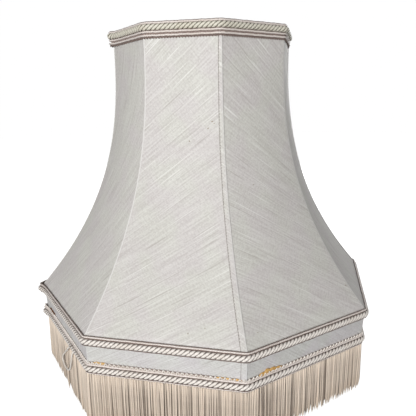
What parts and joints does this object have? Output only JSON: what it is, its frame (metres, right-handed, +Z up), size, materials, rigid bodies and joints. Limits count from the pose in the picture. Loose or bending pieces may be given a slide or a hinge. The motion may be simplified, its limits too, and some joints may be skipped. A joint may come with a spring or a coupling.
{
  "type": "lamp shade",
  "caption": "Eight-sided bell lamp shade in pale slubbed silk with a skirt, twisted-cord braid rows and a strand fringe, on a tilting gimbal.",
  "frame": {"origin": "centre of the fitter ring, on its underside that rests on a lampholder", "axes": "+Z up along the lampholder, through the middle of the top opening; -Y out of the front flat side; +X to the right, along the gimbal's pivot line"},
  "size_m": [0.387, 0.387, 0.3868],
  "materials": {
    "steel_wire": "drawn wire, plain",
    "pressed_steel": "pressed strip, plain",
    "binding_tape": "cotton tape",
    "cover_silk": "slubbed silk on the bias, soft sheen",
    "skirt_silk": "slubbed silk, soft sheen",
    "lining_cloth": "thin smooth lining",
    "gimp_braid": "woven gimp braid with looped edge",
    "twisted_cord": "twisted rayon cord, lustrous",
    "fringe_strands": "straight strand fringe, lustrous"
  },
  "bodies": {
    "gimbal": {"fitter_ring": "pressed_steel", "arm_left": "steel_wire", "arm_right": "steel_wire"},
    "shade": {"top_ring": "steel_wire", "bell_ring": "steel_wire", "skirt_ring": "steel_wire", "strut_1": "steel_wire", "strut_2": "steel_wire", "strut_3": "steel_wire", "strut_4": "steel_wire", "strut_5": "steel_wire", "strut_6": "steel_wire", "strut_7": "steel_wire", "strut_8": "steel_wire", "skirt_post_1": "steel_wire", "skirt_post_2": "steel_wire", "skirt_post_3": "steel_wire", "skirt_post_4": "steel_wire", "skirt_post_5": "steel_wire", "skirt_post_6": "steel_wire", "skirt_post_7": "steel_wire", "skirt_post_8": "steel_wire", "lug_left": "pressed_steel", "lug_right": "pressed_steel", "top_ring_tape": "binding_tape", "bell_ring_tape": "binding_tape", "skirt_ring_tape": "binding_tape", "strut_tape_1": "binding_tape", "strut_tape_2": "binding_tape", "strut_tape_3": "binding_tape", "strut_tape_4": "binding_tape", "cover_1": "cover_silk", "cover_2": "cover_silk", "cover_3": "cover_silk", "cover_4": "cover_silk", "skirt_cover_1": "skirt_silk", "skirt_cover_2": "skirt_silk", "skirt_cover_3": "skirt_silk", "skirt_cover_4": "skirt_silk", "lining_1": "lining_cloth", "lining_2": "lining_cloth", "lining_3": "lining_cloth", "lining_4": "lining_cloth", "top_braid": "gimp_braid", "middle_braid": "gimp_braid", "lower_braid": "gimp_braid", "top_cord": "twisted_cord", "middle_cord": "twisted_cord", "lower_cord": "twisted_cord", "fringe": "fringe_strands"}
  },
  "joints": [
    {"name": "shade_tilt", "type": "hinge", "parent": "gimbal", "child": "shade", "pos_m": [0, 0, 0.032], "axis": [1, 0, 0], "range_deg": [-25, 25]}
  ]
}
